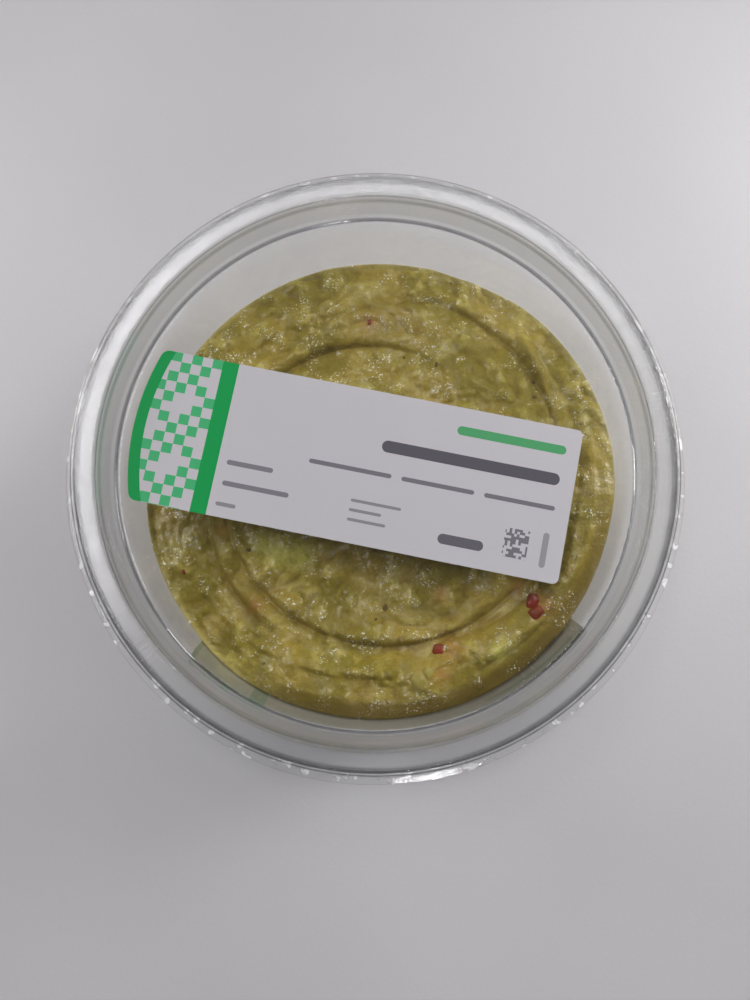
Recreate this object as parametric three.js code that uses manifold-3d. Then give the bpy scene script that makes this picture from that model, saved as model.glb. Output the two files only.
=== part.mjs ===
// A clear round tub of guacamole, shut with a clear press-fit lid. One paper label lies on the lid and one
// is wrapped round the front of the wall. Millimetres, +Z up, origin on the table under the middle of the
// base, front of the tub towards -Y. Radii are measured from the tub's axis, angles anticlockwise from +X.

import * as THREE from 'three';
import { mergeVertices } from 'three/addons/utils/BufferGeometryUtils.js';
import Module from 'manifold-3d';

const wasm = await Module();
wasm.setup();

// Sides of everything turned round the axis, steps in a rounded corner, how far corners are rounded, and the
// distance within which points count as one
const ROUND_SIDES = 60;
const CORNER_STEPS = 2;
const CREASE_ROUNDING = 0.4;
const EDGE_ROUNDING = 0.6;
const RIM_ROUNDING = 1;
const BASE_ROUNDING = 1.4;
const WELD_DISTANCE = 1e-4;

// Tub: a thin drafted shell on a foot ring, with a neck for the lid and a turned-down flange
const TUB_SHEET = 0.6;
const TUB_BASE_RADIUS = 46.1;
const TUB_DRAFT = 0.145;
const FOOT_INNER_RADIUS = 38;
const FOOT_RISE = 0.9;
const LEDGE_HEIGHT = 36.5;
const LEDGE_STEP = 0.5;
const NECK_RADIUS = 53.35;
const FLANGE_HEIGHT = 42.7;
const FLANGE_RADIUS = 57.4;
const FLANGE_DROP = 1.9;
const FLANGE_FLARE = 0.1;

// Lid: a recessed panel, a sloping plug wall, a flat rim and a skirt with a hem
const LID_SHEET = 0.5;
const PANEL_HEIGHT = 37.2;
const PANEL_RADIUS = 51.1;
const RIM_HEIGHT = 43.7;
const RIM_INNER_RADIUS = 52.8;
const RIM_OUTER_RADIUS = 57.8;
const SKIRT_RADIUS = 58.8;
const HEM_RADIUS = 60.4;
const HEM_HEIGHT = 38.7;

// Labels: one cut, used twice, with an arc for its left end and two rounded corners at its right end
const LABEL_LEFT = -48.5;
const LABEL_RIGHT = 39;
const LABEL_HEIGHT = 30.8;
const LABEL_END_RADIUS = 48.5;
const LABEL_CORNER = 1.2;
const LABEL_PAPER = 0.2;
const LID_LABEL_TURN = -11.3;
const LID_LABEL_SHIFT = -0.6;
const LID_LABEL_GAP = 0.1;
const WALL_LABEL_GAP = 0.3;
const WALL_LABEL_ANGLE = -86.3;
const WALL_LABEL_MIDDLE = 19.6;
const WALL_LABEL_HEIGHT = 29;
const LABEL_ARC_STEPS = 10;
const WALL_LABEL_COLUMNS = 30;

// Guacamole: filled to the level seen, leaning up to the front right, with one spiral stroke in its top
const DIP_GAP = 0.3;
const DIP_LEVEL = 25.6;
const DIP_LEAN = 4.3;
const DIP_HIGH_SIDE = -65;
const DIP_EDGE_RADIUS = 49.5;
const SWIRL_ANGLE = 55;
const SWIRL_RADIUS = 27.7;
const SWIRL_PITCH = 13.3;
const SWIRL_TURNS = 1.5;
const SECOND_TURN_SHARE = 0.35;
const STROKE_DEPTH = 2.6;
const CREASE_WIDTH = 1.3;
const CREASE_SHARE = 0.6;
const VALLEY_WIDTH = 4.6;
const STROKE_FADE = 0.13;
const SHOULDER_DROP = 2.6;
const SHOULDER_WIDTH = 5;
const SHOULDER_SIDE = -60;
const SHOULDER_FADE = [0.1, 0.7];
const EDGE_DROP = 2.1;
const EDGE_DROP_SIDE = 143;
const EDGE_DROP_FADE = [-0.25, 0.25];
const EDGE_DROP_START = 35;
const LUMP_COUNT = 150;
const LUMP_HEIGHT = 0.45;
const LUMP_SEED = 20117;
const LUMP_NARROW = 2.2;
const LUMP_WIDE = 5.5;
const DIP_RINGS = 26;
const DIP_SPOKES = 80;
const DIP_WALL_ROWS = 3;
const DIP_UNDER_ROWS = 3;
const DIP_FOOT_ROUNDING = 1.2;
const EDGE_SEARCH_STEPS = 4;

// Pieces that stand out of the dip: kind, angle and radius of the place, size across
const CHUNKS = [
  ['tomato', -40.6, 42.0, 3.6],
  ['tomato', -69.0, 37.6, 3.2],
  ['avocado', -78.4, 43.2, 4.4],
  ['avocado', -138, 24.2, 5.6],
  ['avocado', 77.5, 40.0, 3.6],
  ['avocado', 106, 39.4, 5.2],
  ['avocado', 74, 45.6, 3.0],
  ['avocado', 152, 41.5, 4.0],
  ['avocado', -152, 44.5, 3.8],
  ['avocado', -112, 41.2, 3.6],
];
const CHUNK_FLATNESS = { tomato: 0.62, avocado: 0.5 };
const CHUNK_NARROWNESS = 0.78;
const CHUNK_SINK = 0.2;

const radians = THREE.MathUtils.degToRad;
const smoothstep = THREE.MathUtils.smoothstep;

// Inside radius of the tub's wall at a height
function wallRadius(height) {
  return TUB_BASE_RADIUS + (height - TUB_SHEET) * TUB_DRAFT;
}

// A profile of corners [radius, height, rounding] as points, each rounded corner as a short curve
function roundedProfile(corners) {
  const points = [];
  corners.forEach(([radius, height, rounding = 0], index) => {
    const corner = new THREE.Vector2(radius, height);
    if (rounding === 0) {
      points.push(corner);
      return;
    }
    const before = new THREE.Vector2(...corners[index - 1]).sub(corner).setLength(rounding);
    const after = new THREE.Vector2(...corners[index + 1]).sub(corner).setLength(rounding);
    const bend = new THREE.QuadraticBezierCurve(before.add(corner), corner, after.add(corner));
    points.push(...bend.getPoints(CORNER_STEPS));
  });
  return points;
}

// A closed profile turned round the axis, standing on +Z
function turned(corners) {
  const geometry = new THREE.LatheGeometry(roundedProfile(corners), ROUND_SIDES);
  return geometry.rotateX(Math.PI / 2);
}

// The tub's outline runs from the axis out under the base, up the outside, over the flange and back inside
function tubGeometry() {
  const ledgeInside = wallRadius(LEDGE_HEIGHT);
  const ledgeTop = LEDGE_HEIGHT + LEDGE_STEP;
  const neckFoot = ledgeInside + LEDGE_STEP;
  const flangeUnder = FLANGE_HEIGHT - TUB_SHEET;
  const lipInside = FLANGE_RADIUS - TUB_SHEET;
  const lipFoot = FLANGE_HEIGHT - FLANGE_DROP;
  return turned([
    [0, FOOT_RISE],
    [FOOT_INNER_RADIUS - FOOT_RISE, FOOT_RISE, CREASE_ROUNDING],
    [FOOT_INNER_RADIUS, 0],
    [wallRadius(0) + TUB_SHEET, 0, BASE_ROUNDING],
    [ledgeInside + TUB_SHEET, LEDGE_HEIGHT],
    [neckFoot + TUB_SHEET, ledgeTop],
    [NECK_RADIUS + TUB_SHEET, flangeUnder, CREASE_ROUNDING],
    [lipInside, flangeUnder],
    [lipInside, lipFoot],
    [FLANGE_RADIUS + FLANGE_FLARE, lipFoot],
    [FLANGE_RADIUS, FLANGE_HEIGHT, EDGE_ROUNDING],
    [NECK_RADIUS, FLANGE_HEIGHT, CREASE_ROUNDING],
    [neckFoot, ledgeTop],
    [ledgeInside, LEDGE_HEIGHT],
    [wallRadius(TUB_SHEET), TUB_SHEET, RIM_ROUNDING],
    [FOOT_INNER_RADIUS + TUB_SHEET, TUB_SHEET],
    [FOOT_INNER_RADIUS - TUB_SHEET, FOOT_RISE + TUB_SHEET],
    [0, FOOT_RISE + TUB_SHEET],
  ]);
}

// The lid's outline runs from the axis out under the panel, up the plug and over the rim from below, round
// the hem, and back over the top
function lidGeometry() {
  const panelUnder = PANEL_HEIGHT - LID_SHEET;
  const rimUnder = RIM_HEIGHT - LID_SHEET;
  const skirtFoot = HEM_HEIGHT + LID_SHEET;
  return turned([
    [0, panelUnder],
    [PANEL_RADIUS + LID_SHEET, panelUnder, EDGE_ROUNDING],
    [RIM_INNER_RADIUS + LID_SHEET, rimUnder, CREASE_ROUNDING],
    [RIM_OUTER_RADIUS - LID_SHEET, rimUnder, EDGE_ROUNDING],
    [SKIRT_RADIUS - LID_SHEET, HEM_HEIGHT - LID_SHEET],
    [HEM_RADIUS, HEM_HEIGHT - LID_SHEET],
    [HEM_RADIUS, HEM_HEIGHT],
    [SKIRT_RADIUS, skirtFoot, CREASE_ROUNDING],
    [RIM_OUTER_RADIUS, RIM_HEIGHT, RIM_ROUNDING],
    [RIM_INNER_RADIUS, RIM_HEIGHT, EDGE_ROUNDING],
    [PANEL_RADIUS, PANEL_HEIGHT, EDGE_ROUNDING],
    [0, PANEL_HEIGHT],
  ]);
}

// A seeded draw between 0 and 1, so that the lumps come out alike each time
function seededDraw(seed) {
  const factor = 16807;
  const range = 2 ** 31 - 1;
  let state = seed;
  return () => {
    state = (state * factor) % range;
    return state / range;
  };
}

const draw = seededDraw(LUMP_SEED);
const LUMPS = Array.from({ length: LUMP_COUNT }, () => ({
  x: (draw() * 2 - 1) * DIP_EDGE_RADIUS,
  y: (draw() * 2 - 1) * DIP_EDGE_RADIUS,
  width: THREE.MathUtils.lerp(LUMP_NARROW, LUMP_WIDE, draw()),
  height: LUMP_HEIGHT * (2 * draw() - 1),
}));

function lumpRelief(x, y) {
  return LUMPS.reduce((sum, lump) => {
    const distance = Math.hypot(x - lump.x, y - lump.y) / lump.width;
    return sum + lump.height * Math.exp(-distance * distance);
  }, 0);
}

// Depth of the spiral stroke at a place: a narrow crease inside a wide soft valley, shallower in the second
// turn and fading at both ends
function strokeDepth(radius, degrees) {
  const around = THREE.MathUtils.euclideanModulo(degrees - SWIRL_ANGLE, 360) / 360;
  const outward = (radius - SWIRL_RADIUS) / SWIRL_PITCH - around;
  const turn = Math.max(0, Math.round(outward));
  const along = turn + around;
  const fadeIn = smoothstep(along, 0, STROKE_FADE);
  const fadeOut = 1 - smoothstep(along, SWIRL_TURNS - STROKE_FADE, SWIRL_TURNS);
  const secondTurn = smoothstep(along, 1 - STROKE_FADE, 1 + STROKE_FADE);
  const depth = STROKE_DEPTH * THREE.MathUtils.lerp(1, SECOND_TURN_SHARE, secondTurn);
  const distance = (outward - turn) * SWIRL_PITCH;
  const crease = Math.exp(-((distance / CREASE_WIDTH) ** 2));
  const valley = Math.exp(-((distance / VALLEY_WIDTH) ** 2));
  const section = THREE.MathUtils.lerp(valley, crease, CREASE_SHARE);
  return depth * fadeIn * fadeOut * section;
}

// How far the rounded shoulder at the front right has dropped towards the wall
function shoulderDrop(radius, degrees) {
  const facing = smoothstep(Math.cos(radians(degrees - SHOULDER_SIDE)), ...SHOULDER_FADE);
  const nearness = smoothstep(radius, DIP_EDGE_RADIUS - SHOULDER_WIDTH, DIP_EDGE_RADIUS);
  return SHOULDER_DROP * facing * nearness;
}

// How far the dip has sunk towards the wall at the back and left
function edgeDrop(radius, degrees) {
  const facing = smoothstep(Math.cos(radians(degrees - EDGE_DROP_SIDE)), ...EDGE_DROP_FADE);
  return EDGE_DROP * facing * smoothstep(radius, EDGE_DROP_START, DIP_EDGE_RADIUS);
}

function dipHeight(radius, degrees) {
  const lean = DIP_LEAN * (radius / DIP_EDGE_RADIUS) * Math.cos(radians(degrees - DIP_HIGH_SIDE));
  const x = radius * Math.cos(radians(degrees));
  const y = radius * Math.sin(radians(degrees));
  const sunk = strokeDepth(radius, degrees) + shoulderDrop(radius, degrees) + edgeDrop(radius, degrees);
  return DIP_LEVEL + lean + lumpRelief(x, y) - sunk;
}

// Radius at which the dip's top meets the wall, found by walking to and fro between wall and level
function dipEdgeRadius(degrees) {
  let radius = DIP_EDGE_RADIUS;
  for (let step = 0; step < EDGE_SEARCH_STEPS; step += 1) {
    radius = wallRadius(dipHeight(radius, degrees)) - DIP_GAP;
  }
  return radius;
}

// The dip's skin as rows of rings, from the middle of the top, out to the wall, down it and in underneath
function dipRow(row, degrees) {
  const edge = dipEdgeRadius(degrees);
  if (row <= DIP_RINGS) {
    const radius = (edge * row) / DIP_RINGS;
    return [radius, dipHeight(radius, degrees)];
  }
  const footHeight = TUB_SHEET + DIP_FOOT_ROUNDING;
  const below = row - DIP_RINGS;
  if (below <= DIP_WALL_ROWS) {
    const top = dipHeight(edge, degrees);
    const height = THREE.MathUtils.lerp(top, footHeight, below / DIP_WALL_ROWS);
    return [wallRadius(height) - DIP_GAP, height];
  }
  const floorHeight = TUB_SHEET + DIP_GAP;
  const underside = [
    [wallRadius(0) - DIP_FOOT_ROUNDING, floorHeight],
    [FOOT_INNER_RADIUS + TUB_SHEET + DIP_GAP, floorHeight],
    [FOOT_INNER_RADIUS - TUB_SHEET, floorHeight + FOOT_RISE],
  ];
  return underside[below - DIP_WALL_ROWS - 1];
}

function dipGeometry() {
  const rows = DIP_RINGS + DIP_WALL_ROWS + DIP_UNDER_ROWS;
  const middleTop = [0, 0, dipHeight(0, 0)];
  const middleUnder = [0, 0, TUB_SHEET + DIP_GAP + FOOT_RISE];
  const positions = [...middleTop];
  for (let row = 1; row <= rows; row += 1) {
    for (let spoke = 0; spoke < DIP_SPOKES; spoke += 1) {
      const degrees = (360 * spoke) / DIP_SPOKES;
      const [radius, height] = dipRow(row, degrees);
      positions.push(radius * Math.cos(radians(degrees)), radius * Math.sin(radians(degrees)), height);
    }
  }
  positions.push(...middleUnder);
  const last = positions.length / 3 - 1;
  const at = (row, spoke) => 1 + (row - 1) * DIP_SPOKES + (spoke % DIP_SPOKES);
  const index = [];
  for (let spoke = 0; spoke < DIP_SPOKES; spoke += 1) {
    index.push(0, at(1, spoke), at(1, spoke + 1));
    for (let row = 1; row < rows; row += 1) {
      index.push(at(row, spoke), at(row + 1, spoke), at(row + 1, spoke + 1));
      index.push(at(row, spoke), at(row + 1, spoke + 1), at(row, spoke + 1));
    }
    index.push(at(rows, spoke), last, at(rows, spoke + 1));
  }
  const geometry = new THREE.BufferGeometry();
  geometry.setAttribute('position', new THREE.Float32BufferAttribute(positions, 3));
  geometry.setIndex(index);
  return geometry;
}

// One chunk: a low lump with few sides, half sunk in the dip's top
function chunkGeometry([kind, degrees, radius, size], turn) {
  const geometry = new THREE.IcosahedronGeometry(size / 2, 1);
  geometry.scale(1, CHUNK_NARROWNESS, CHUNK_FLATNESS[kind]);
  geometry.rotateZ(turn);
  const x = radius * Math.cos(radians(degrees));
  const y = radius * Math.sin(radians(degrees));
  return geometry.translate(x, y, dipHeight(radius, degrees) - CHUNK_SINK);
}

function toSolid(geometry) {
  const bare = geometry.clone();
  bare.deleteAttribute('normal');
  bare.deleteAttribute('uv');
  const merged = mergeVertices(bare, WELD_DISTANCE);
  const vertProperties = new Float32Array(merged.attributes.position.array);
  const triVerts = new Uint32Array(merged.index.array);
  return new wasm.Manifold(new wasm.Mesh({ numProp: 3, vertProperties, triVerts }));
}

function toGeometry(solid) {
  const { vertProperties, triVerts } = solid.getMesh();
  const geometry = new THREE.BufferGeometry();
  geometry.setAttribute('position', new THREE.BufferAttribute(vertProperties, 3));
  geometry.setIndex(new THREE.BufferAttribute(triVerts, 1));
  return geometry;
}

function guacamoleGeometry() {
  const dip = toSolid(dipGeometry());
  const joined = CHUNKS.reduce((solid, chunk, order) => solid.add(toSolid(chunkGeometry(chunk, order))), dip);
  return toGeometry(joined);
}

// How far in from its ends the label's edge lies, at a height above or below its middle line
function leftInset(v) {
  return LABEL_END_RADIUS - Math.sqrt(LABEL_END_RADIUS ** 2 - v * v);
}

function rightInset(v, height) {
  const intoCorner = Math.max(0, Math.abs(v) - (height / 2 - LABEL_CORNER));
  return LABEL_CORNER - Math.sqrt(Math.max(0, LABEL_CORNER ** 2 - intoCorner ** 2));
}

// The lid's label: a flat plate of paper on the recessed panel
function lidLabelGeometry() {
  const half = LABEL_HEIGHT / 2;
  const endAngle = Math.asin(half / LABEL_END_RADIUS);
  const outline = new THREE.Shape();
  outline.absarc(0, 0, LABEL_END_RADIUS, Math.PI - endAngle, Math.PI + endAngle);
  outline.lineTo(LABEL_RIGHT - LABEL_CORNER, -half);
  outline.absarc(LABEL_RIGHT - LABEL_CORNER, LABEL_CORNER - half, LABEL_CORNER, -Math.PI / 2, 0);
  outline.absarc(LABEL_RIGHT - LABEL_CORNER, half - LABEL_CORNER, LABEL_CORNER, 0, Math.PI / 2);
  const plate = new THREE.ExtrudeGeometry(outline, {
    depth: LABEL_PAPER,
    bevelEnabled: false,
    curveSegments: LABEL_ARC_STEPS,
  });
  return plate.translate(0, LID_LABEL_SHIFT, PANEL_HEIGHT + LID_LABEL_GAP);
}

// A point of the wall's label: its flat place (u along, v up) laid on the cone of the wall, off it by a gap
function onWall(u, v, gap) {
  const slope = Math.atan(TUB_DRAFT);
  const middleRadius = wallRadius(WALL_LABEL_MIDDLE) + TUB_SHEET + gap;
  const reach = middleRadius / Math.sin(slope);
  const distance = Math.hypot(u, reach + v);
  const swing = Math.atan2(u, reach + v) / Math.sin(slope);
  const angle = radians(WALL_LABEL_ANGLE) + swing;
  const radius = distance * Math.sin(slope);
  const height = WALL_LABEL_MIDDLE + (distance - reach) * Math.cos(slope);
  return [radius * Math.cos(angle), radius * Math.sin(angle), height];
}

// The wall's label: a curved strip of paper, two skins of a grid joined round their edge
function wallLabelGeometry() {
  const columns = WALL_LABEL_COLUMNS;
  const half = WALL_LABEL_HEIGHT / 2;
  const heights = [-half, LABEL_CORNER - half, -half / 2, 0, half / 2, half - LABEL_CORNER, half];
  const rows = heights.length - 1;
  const middle = (LABEL_LEFT + LABEL_RIGHT) / 2;
  const positions = [];
  [WALL_LABEL_GAP, WALL_LABEL_GAP + LABEL_PAPER].forEach((gap) => {
    heights.forEach((v) => {
      const left = LABEL_LEFT - middle + leftInset(v);
      const right = LABEL_RIGHT - middle - rightInset(v, WALL_LABEL_HEIGHT);
      for (let column = 0; column <= columns; column += 1) {
        const u = THREE.MathUtils.lerp(left, right, column / columns);
        positions.push(...onWall(u, v, gap));
      }
    });
  });
  const skin = (rows + 1) * (columns + 1);
  const at = (side, row, column) => side * skin + row * (columns + 1) + column;
  const index = [];
  const quad = (a, b, c, d) => index.push(a, b, c, a, c, d);
  for (let row = 0; row < rows; row += 1) {
    for (let column = 0; column < columns; column += 1) {
      quad(at(1, row, column), at(1, row, column + 1), at(1, row + 1, column + 1), at(1, row + 1, column));
      quad(at(0, row, column), at(0, row + 1, column), at(0, row + 1, column + 1), at(0, row, column + 1));
    }
    quad(at(0, row, 0), at(1, row, 0), at(1, row + 1, 0), at(0, row + 1, 0));
    quad(at(0, row, columns), at(0, row + 1, columns), at(1, row + 1, columns), at(1, row, columns));
  }
  for (let column = 0; column < columns; column += 1) {
    quad(at(0, 0, column), at(0, 0, column + 1), at(1, 0, column + 1), at(1, 0, column));
    quad(at(0, rows, column), at(1, rows, column), at(1, rows, column + 1), at(0, rows, column + 1));
  }
  const geometry = new THREE.BufferGeometry();
  geometry.setAttribute('position', new THREE.Float32BufferAttribute(positions, 3));
  geometry.setIndex(index);
  return geometry;
}

function named(name, geometry, look) {
  const mesh = new THREE.Mesh(geometry, new THREE.MeshStandardMaterial(look));
  mesh.name = name;
  return mesh;
}

const clear = { transparent: true, opacity: 0.35, roughness: 0.08, metalness: 0 };
const paper = { color: 0xe9e7ee, roughness: 0.6, metalness: 0 };

const tub = named('tub', tubGeometry(), { color: 0xf2f4f4, ...clear });
const guacamole = named('guacamole', guacamoleGeometry(), { color: 0x9c9546, roughness: 0.35, metalness: 0 });
const lid = named('lid', lidGeometry(), { color: 0xf6f8f8, ...clear });
const lidLabel = named('lid_label', lidLabelGeometry(), paper);
lidLabel.rotation.z = radians(LID_LABEL_TURN);
const wallLabel = named('wall_label', wallLabelGeometry(), paper);

const pack = new THREE.Group();
pack.add(tub, guacamole, lid, lidLabel, wallLabel);

export default pack;
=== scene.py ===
# %% [markdown]
# # A tub of guacamole
# A round clear tub holds guacamole whose top was smoothed with one spiral stroke. A clear lid is pressed
# on, and two paper labels are stuck to it: one on the lid, one round the front of the wall. We start from
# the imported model, which fixes every size, and dress each of its solids with a finer piece.

# %% Load the frame
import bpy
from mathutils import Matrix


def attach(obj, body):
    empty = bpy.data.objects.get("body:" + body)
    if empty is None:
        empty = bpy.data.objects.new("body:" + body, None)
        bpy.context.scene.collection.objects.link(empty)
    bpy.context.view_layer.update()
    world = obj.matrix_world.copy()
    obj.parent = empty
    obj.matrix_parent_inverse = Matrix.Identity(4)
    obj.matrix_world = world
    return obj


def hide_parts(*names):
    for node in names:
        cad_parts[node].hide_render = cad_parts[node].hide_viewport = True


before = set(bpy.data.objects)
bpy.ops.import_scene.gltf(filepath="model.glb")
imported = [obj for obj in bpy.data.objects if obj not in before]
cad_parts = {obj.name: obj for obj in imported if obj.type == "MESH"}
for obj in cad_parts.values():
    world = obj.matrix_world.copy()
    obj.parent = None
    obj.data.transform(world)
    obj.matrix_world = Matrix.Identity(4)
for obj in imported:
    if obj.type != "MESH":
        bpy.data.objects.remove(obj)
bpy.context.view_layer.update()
print("solids to dress:", sorted(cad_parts))

# %% Tools for the numbers
import math
import bpy
import numpy as np
from mathutils import Vector, noise

MM = 0.001


def smooth_between(value, low, high):
    """0 below low, 1 above high, and a soft curve between them."""
    share = np.clip((np.asarray(value, dtype=float) - low) / (high - low), 0, 1)
    return share * share * (3 - 2 * share)


def bell(distance, width):
    """A soft bump: 1 in the middle, fading out over about one width."""
    return np.exp(-((distance / width) ** 2))


# %% [markdown]
# ## From points to a piece
# Each piece here is a mesh that we work out point by point: a turned profile, a curved sheet or a height
# field. One helper turns points and faces into an object. It also says what it made, so that a slip shows
# at once.

# %% Make a mesh piece
def mesh_piece(name, points, faces, sharp_above=None):
    """Points in millimetres and lists of point numbers become a smooth-shaded object in metres."""
    mesh = bpy.data.meshes.new(name)
    mesh.from_pydata((np.asarray(points, dtype=float) * MM).tolist(), [], faces)
    mesh.validate()
    mesh.shade_smooth()
    if sharp_above is not None:
        mesh.set_sharp_from_angle(angle=math.radians(sharp_above))
    piece = bpy.data.objects.new(name, mesh)
    bpy.context.collection.objects.link(piece)
    low = np.min(points, axis=0)
    high = np.max(points, axis=0)
    triangles = sum(len(face) - 2 for face in faces)
    print(name, "from", low.round(2), "to", high.round(2), "mm,", triangles, "triangles")
    return piece


# %% [markdown]
# ## Shader tools
# A material is a small net of nodes. These helpers put numbers, colours or other nodes' outputs into a
# node's named sockets, so that each recipe below reads like a list of what the maker did.

# %% Nodes in one line each
def new_material(name):
    """An empty material: its tree, its surface output and one Principled shader."""
    material = bpy.data.materials.new(name)
    material.use_nodes = True
    tree = material.node_tree
    tree.nodes.clear()
    output = tree.nodes.new("ShaderNodeOutputMaterial")
    skin = tree.nodes.new("ShaderNodeBsdfPrincipled")
    tree.links.new(skin.outputs[0], output.inputs["Surface"])
    return material, tree, skin, output


def put(tree, node, sockets):
    """Numbers and colours are set on the sockets, outputs of other nodes are linked to them."""
    for name, value in sockets.items():
        if isinstance(value, bpy.types.NodeSocket):
            tree.links.new(value, node.inputs[name])
        else:
            node.inputs[name].default_value = value
    return node


def add(tree, kind, sockets, **settings):
    node = tree.nodes.new("ShaderNode" + kind)
    for name, value in settings.items():
        setattr(node, name, value)
    return put(tree, node, sockets)


def maths(tree, operation, first, second=0.0, third=0.0):
    values = {0: first, 1: second, 2: third}
    return add(tree, "Math", values, operation=operation).outputs[0]


def times(tree, *values):
    """The product of two or more numbers or outputs."""
    product = values[0]
    for value in values[1:]:
        product = maths(tree, "MULTIPLY", product, value)
    return product


def noise_pattern(tree, place, scale, detail=4.0, roughness=0.55):
    sockets = {"Vector": place, "Scale": scale, "Detail": detail, "Roughness": roughness}
    return add(tree, "TexNoise", sockets).outputs["Fac"]


def soft_step(tree, value, low, high):
    """0 to 1 as value passes from low to high."""
    sockets = {"Value": value, "From Min": low, "From Max": high, "To Min": 0.0, "To Max": 1.0}
    return add(tree, "MapRange", sockets, interpolation_type="SMOOTHSTEP").outputs["Result"]


def colour_mix(tree, share, first, second):
    node = tree.nodes.new("ShaderNodeMix")
    node.data_type = "RGBA"
    put(tree, node, {0: share, 6: first, 7: second})
    return node.outputs[2]


def bump(tree, height, distance, strength=1.0):
    sockets = {"Height": height, "Distance": distance, "Strength": strength}
    return add(tree, "Bump", sockets).outputs["Normal"]


# %% [markdown]
# ## Clear plastic
# The tub and lid are drawn as thin clear sheet of refractive glass, which bends what lies behind it. Real
# glass would also leave the food in the dark, because Blender doesn't trace lamps through it, so rays that
# look for a lamp pass straight through. At the rim so does a large share of all others, which keeps it as
# clear as thin sheet is. The thin dark lines where the lid's folds are seen along their face are painted
# shade: grey rings in the sheet's colour. A slow waviness bends the reflections, fine rays and dents make
# the rim glitter, and the tub's thick lip, which looks grey seen edge on, is painted grey as shade. At the
# hem the sparks of light are painted as small pale spots, where the sheet turns opaque and whitish.

# %% Clear sheet material
SHEET_BENDING = 1.5
# painted shade: the grey that the tub's thick lip shows seen edge on
EDGE_SHADE_GREY = (0.52, 0.53, 0.54, 1.0)
# how fine each unevenness of the sheet is, in waves per metre
WAVE_SCALE = 55.0
RAY_SCALE = 120.0
DENT_SCALE = 420.0
STREAK_SCALE = 160.0
GLINT_SPECK_SCALE = 420.0
# how deep, in metres
WAVE_DEPTH = 0.0004
DENT_DEPTH = 0.00005
STRAIGHT_SHARE = 0.76
RIM_PLACE = 51.0
# painted glints: from here out the hem has small pale opaque spots in place of sparks of light
GLINT_SPECK_PLACE = 58.3
# painted shade: the grey of the dark lines where the lid's sheet is folded
FOLD_SHADE_GREY = (0.20, 0.205, 0.215, 1.0)
# place, half width and strength of each painted shade line, in millimetres and parts of one
LID_FOLD_SHADES = ((51.05, 0.30, 0.9), (52.9, 0.16, 0.45), (57.6, 0.18, 0.7))


def from_the_axis(tree, place):
    """The level direction away from the axis, and how far out a spot lies, in millimetres."""
    out = add(tree, "VectorMath", {0: place, 1: (1.0, 1.0, 0.0)}, operation="MULTIPLY").outputs[0]
    length = add(tree, "VectorMath", {0: out}, operation="LENGTH").outputs["Value"]
    direction = add(tree, "VectorMath", {0: out}, operation="NORMALIZE").outputs[0]
    return direction, maths(tree, "MULTIPLY", length, 1000.0)


def fold_shade_line(tree, distance, place, half_width, strength):
    """A thin ring of painted shade at one distance from the axis, where the sheet is folded and seen along
    its face.
    """
    away = maths(tree, "ABSOLUTE", maths(tree, "SUBTRACT", distance, place))
    return times(tree, soft_step(tree, away, half_width, half_width * 0.4), strength)


def clear_sheet(name, tint, roughness, flat_radius, edge_shade_radius, fold_shade_lines=()):
    """Clear sheet: quite smooth within flat_radius, and painted grey as shade outside the edge radius, as
    seen edge on.
    """
    material, tree, skin, output = new_material(name)
    place = add(tree, "TexCoord", {}).outputs["Object"]
    direction, distance = from_the_axis(tree, place)
    worn = maths(tree, "GREATER_THAN", distance, flat_radius)
    # painted shade: the colour turns grey outside the edge radius
    edge_shade = soft_step(tree, distance, edge_shade_radius, edge_shade_radius + 0.3)
    on_rim = soft_step(tree, distance, RIM_PLACE, RIM_PLACE + 0.6)
    waves = noise_pattern(tree, place, WAVE_SCALE, 1.0)
    rays = noise_pattern(tree, direction, RAY_SCALE, 2.0)
    dents = noise_pattern(tree, place, DENT_SCALE, 2.0)
    streaks = soft_step(tree, noise_pattern(tree, place, STREAK_SCALE, 1.0), 0.35, 0.8)
    colour = colour_mix(tree, edge_shade, (*tint, 1.0), EDGE_SHADE_GREY)
    # painted shade: a dark grey ring at each fold
    for line_place, half_width, strength in fold_shade_lines:
        line = fold_shade_line(tree, distance, line_place, half_width, strength)
        colour = colour_mix(tree, line, colour, FOLD_SHADE_GREY)
    brushed = bump(tree, times(tree, maths(tree, "ADD", rays, dents), on_rim), DENT_DEPTH, 0.7)
    # painted glints: small pale opaque spots at the hem stand in for the sparks of light on its flutes
    glint_specks = soft_step(tree, noise_pattern(tree, place, GLINT_SPECK_SCALE, 1.0), 0.59, 0.64)
    hem_glints = times(tree, glint_specks, soft_step(tree, distance, GLINT_SPECK_PLACE, GLINT_SPECK_PLACE + 0.2))
    wavy = add(tree, "Bump", {"Height": waves, "Distance": WAVE_DEPTH, "Strength": 0.35, "Normal": brushed})
    uneven = maths(tree, "MULTIPLY_ADD", streaks, roughness, roughness)
    put(tree, skin, {
        "Base Color": colour,
        "Roughness": times(tree, uneven, worn),
        "Normal": wavy.outputs["Normal"],
        "Transmission Weight": maths(tree, "SUBTRACT", 1.0, hem_glints),
    })
    skin.inputs["IOR"].default_value = SHEET_BENDING
    open_air = add(tree, "BsdfTransparent", {"Color": colour})
    ray = add(tree, "LightPath", {}).outputs
    lets_through = maths(tree, "MAXIMUM", ray["Is Shadow Ray"], ray["Is Diffuse Ray"])
    share = times(tree, maths(tree, "SUBTRACT", on_rim, hem_glints), STRAIGHT_SHARE)
    straight = maths(tree, "MAXIMUM", lets_through, share)
    either = add(tree, "MixShader", {"Fac": straight, 1: skin.outputs[0], 2: open_air.outputs[0]})
    tree.links.new(either.outputs[0], output.inputs["Surface"])
    print("material", name)
    return material


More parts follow.
